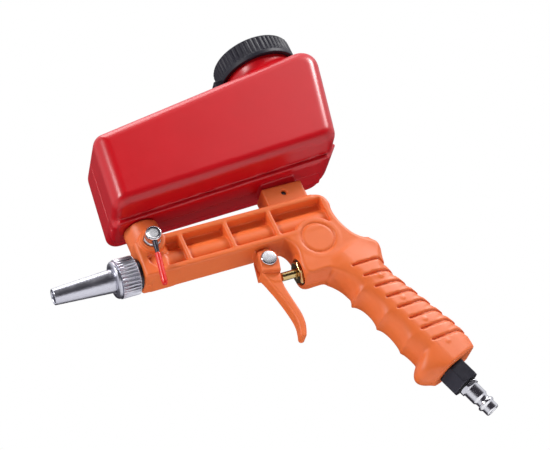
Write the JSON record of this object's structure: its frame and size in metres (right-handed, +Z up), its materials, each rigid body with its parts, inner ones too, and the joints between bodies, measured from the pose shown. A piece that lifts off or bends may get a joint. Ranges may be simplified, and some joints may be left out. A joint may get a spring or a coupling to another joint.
{
  "type": "sand blaster gun",
  "caption": "Hand-held gravity-feed abrasive blaster gun with a moulded pistol body, wedge-shaped hopper, side feed lever, trigger valve and quick-connect air plug.",
  "frame": {"origin": "centre of the nozzle's outlet face", "axes": "+X back along the nozzle and barrel towards the grip, +Z up towards the hopper, the feed lever's knob is on the -Y side"},
  "size_m": [0.2688, 0.0756, 0.3359],
  "materials": {
    "orange_plastic": "satin moulded",
    "red_plastic": "satin blow-moulded",
    "cap_plastic": "matte moulded",
    "black_steel": "blackened",
    "nozzle_metal": "turned and polished",
    "chrome": "bright",
    "brass": "turned",
    "steel": "plain",
    "rubber": "matte",
    "red_sleeve": "glossy soft vinyl",
    "foam": "closed-cell foam"
  },
  "bodies": {
    "gun": {"gun_body": "orange_plastic", "air_tube": "steel", "air_jet": "brass", "jet_seal": "rubber", "nozzle_collar": "black_steel", "nozzle_seal": "rubber", "trigger_pin": "chrome", "trigger_pin_clip": "steel", "valve_gland": "brass", "gland_washer": "rubber", "stem_seal": "rubber", "valve_seat": "brass", "valve_spring": "steel", "inlet_adapter": "black_steel", "inlet_seal": "rubber", "inlet_plug": "chrome", "hopper": "red_plastic", "outlet_gasket": "rubber", "hopper_pin": "steel"},
    "nozzle": {"nozzle": "nozzle_metal"},
    "nut": {"nozzle_nut": "nozzle_metal"},
    "trigger": {"trigger": "orange_plastic"},
    "valve_stem": {"valve_pin": "brass", "valve_poppet": "rubber"},
    "feed_lever": {"feed_spindle": "steel", "feed_knob": "chrome", "lever_wire": "black_steel", "lever_sleeve": "red_sleeve", "spindle_seals": "rubber", "spindle_clip": "steel"},
    "liner": {"cap_liner": "foam"},
    "cap": {"hopper_cap": "cap_plastic"}
  },
  "joints": [
    {"name": "trigger_pull", "type": "hinge", "parent": "gun", "child": "trigger", "pos_m": [0.1548, 0, -0.0205], "axis": [0, -1, 0], "range_deg": [0, 14], "stiffness_Nm_per_rad": 1.5, "springref_deg": -20.05},
    {"name": "valve_slide", "type": "slide", "parent": "gun", "child": "valve_stem", "axis": [1, 0, 0], "range_m": [0, 0.0025], "deforming": ["valve_spring"]},
    {"name": "feed_turn", "type": "hinge", "parent": "gun", "child": "feed_lever", "pos_m": [0.078, 0, 0.0154], "axis": [0, -1, 0], "range_deg": [0, 90]},
    {"name": "nozzle_release", "type": "slide", "parent": "gun", "child": "nozzle", "axis": [-1, 0, 0], "range_m": [0, 0.003]},
    {"name": "nut_turn", "type": "hinge", "parent": "nozzle", "child": "nut", "pos_m": [0.05, 0, 0], "axis": [-1, 0, 0], "range_deg": [0, 722]},
    {"name": "cap_lift", "type": "slide", "parent": "gun", "child": "liner", "axis": [0, 0, 1], "range_m": [0, 0.012]},
    {"name": "cap_turn", "type": "hinge", "parent": "liner", "child": "cap", "pos_m": [0.2169, 0, 0.145], "axis": [0, 0, 1], "range_deg": [0, 1080]}
  ],
  "couplings": [
    {"joint": "valve_slide", "follows": "trigger_pull", "m_per_rad": 0.0098},
    {"joint": "nut_turn", "follows": "nozzle_release", "rad_per_m": 4188.8},
    {"joint": "cap_lift", "follows": "cap_turn", "m_per_rad": 0.000636}
  ]
}
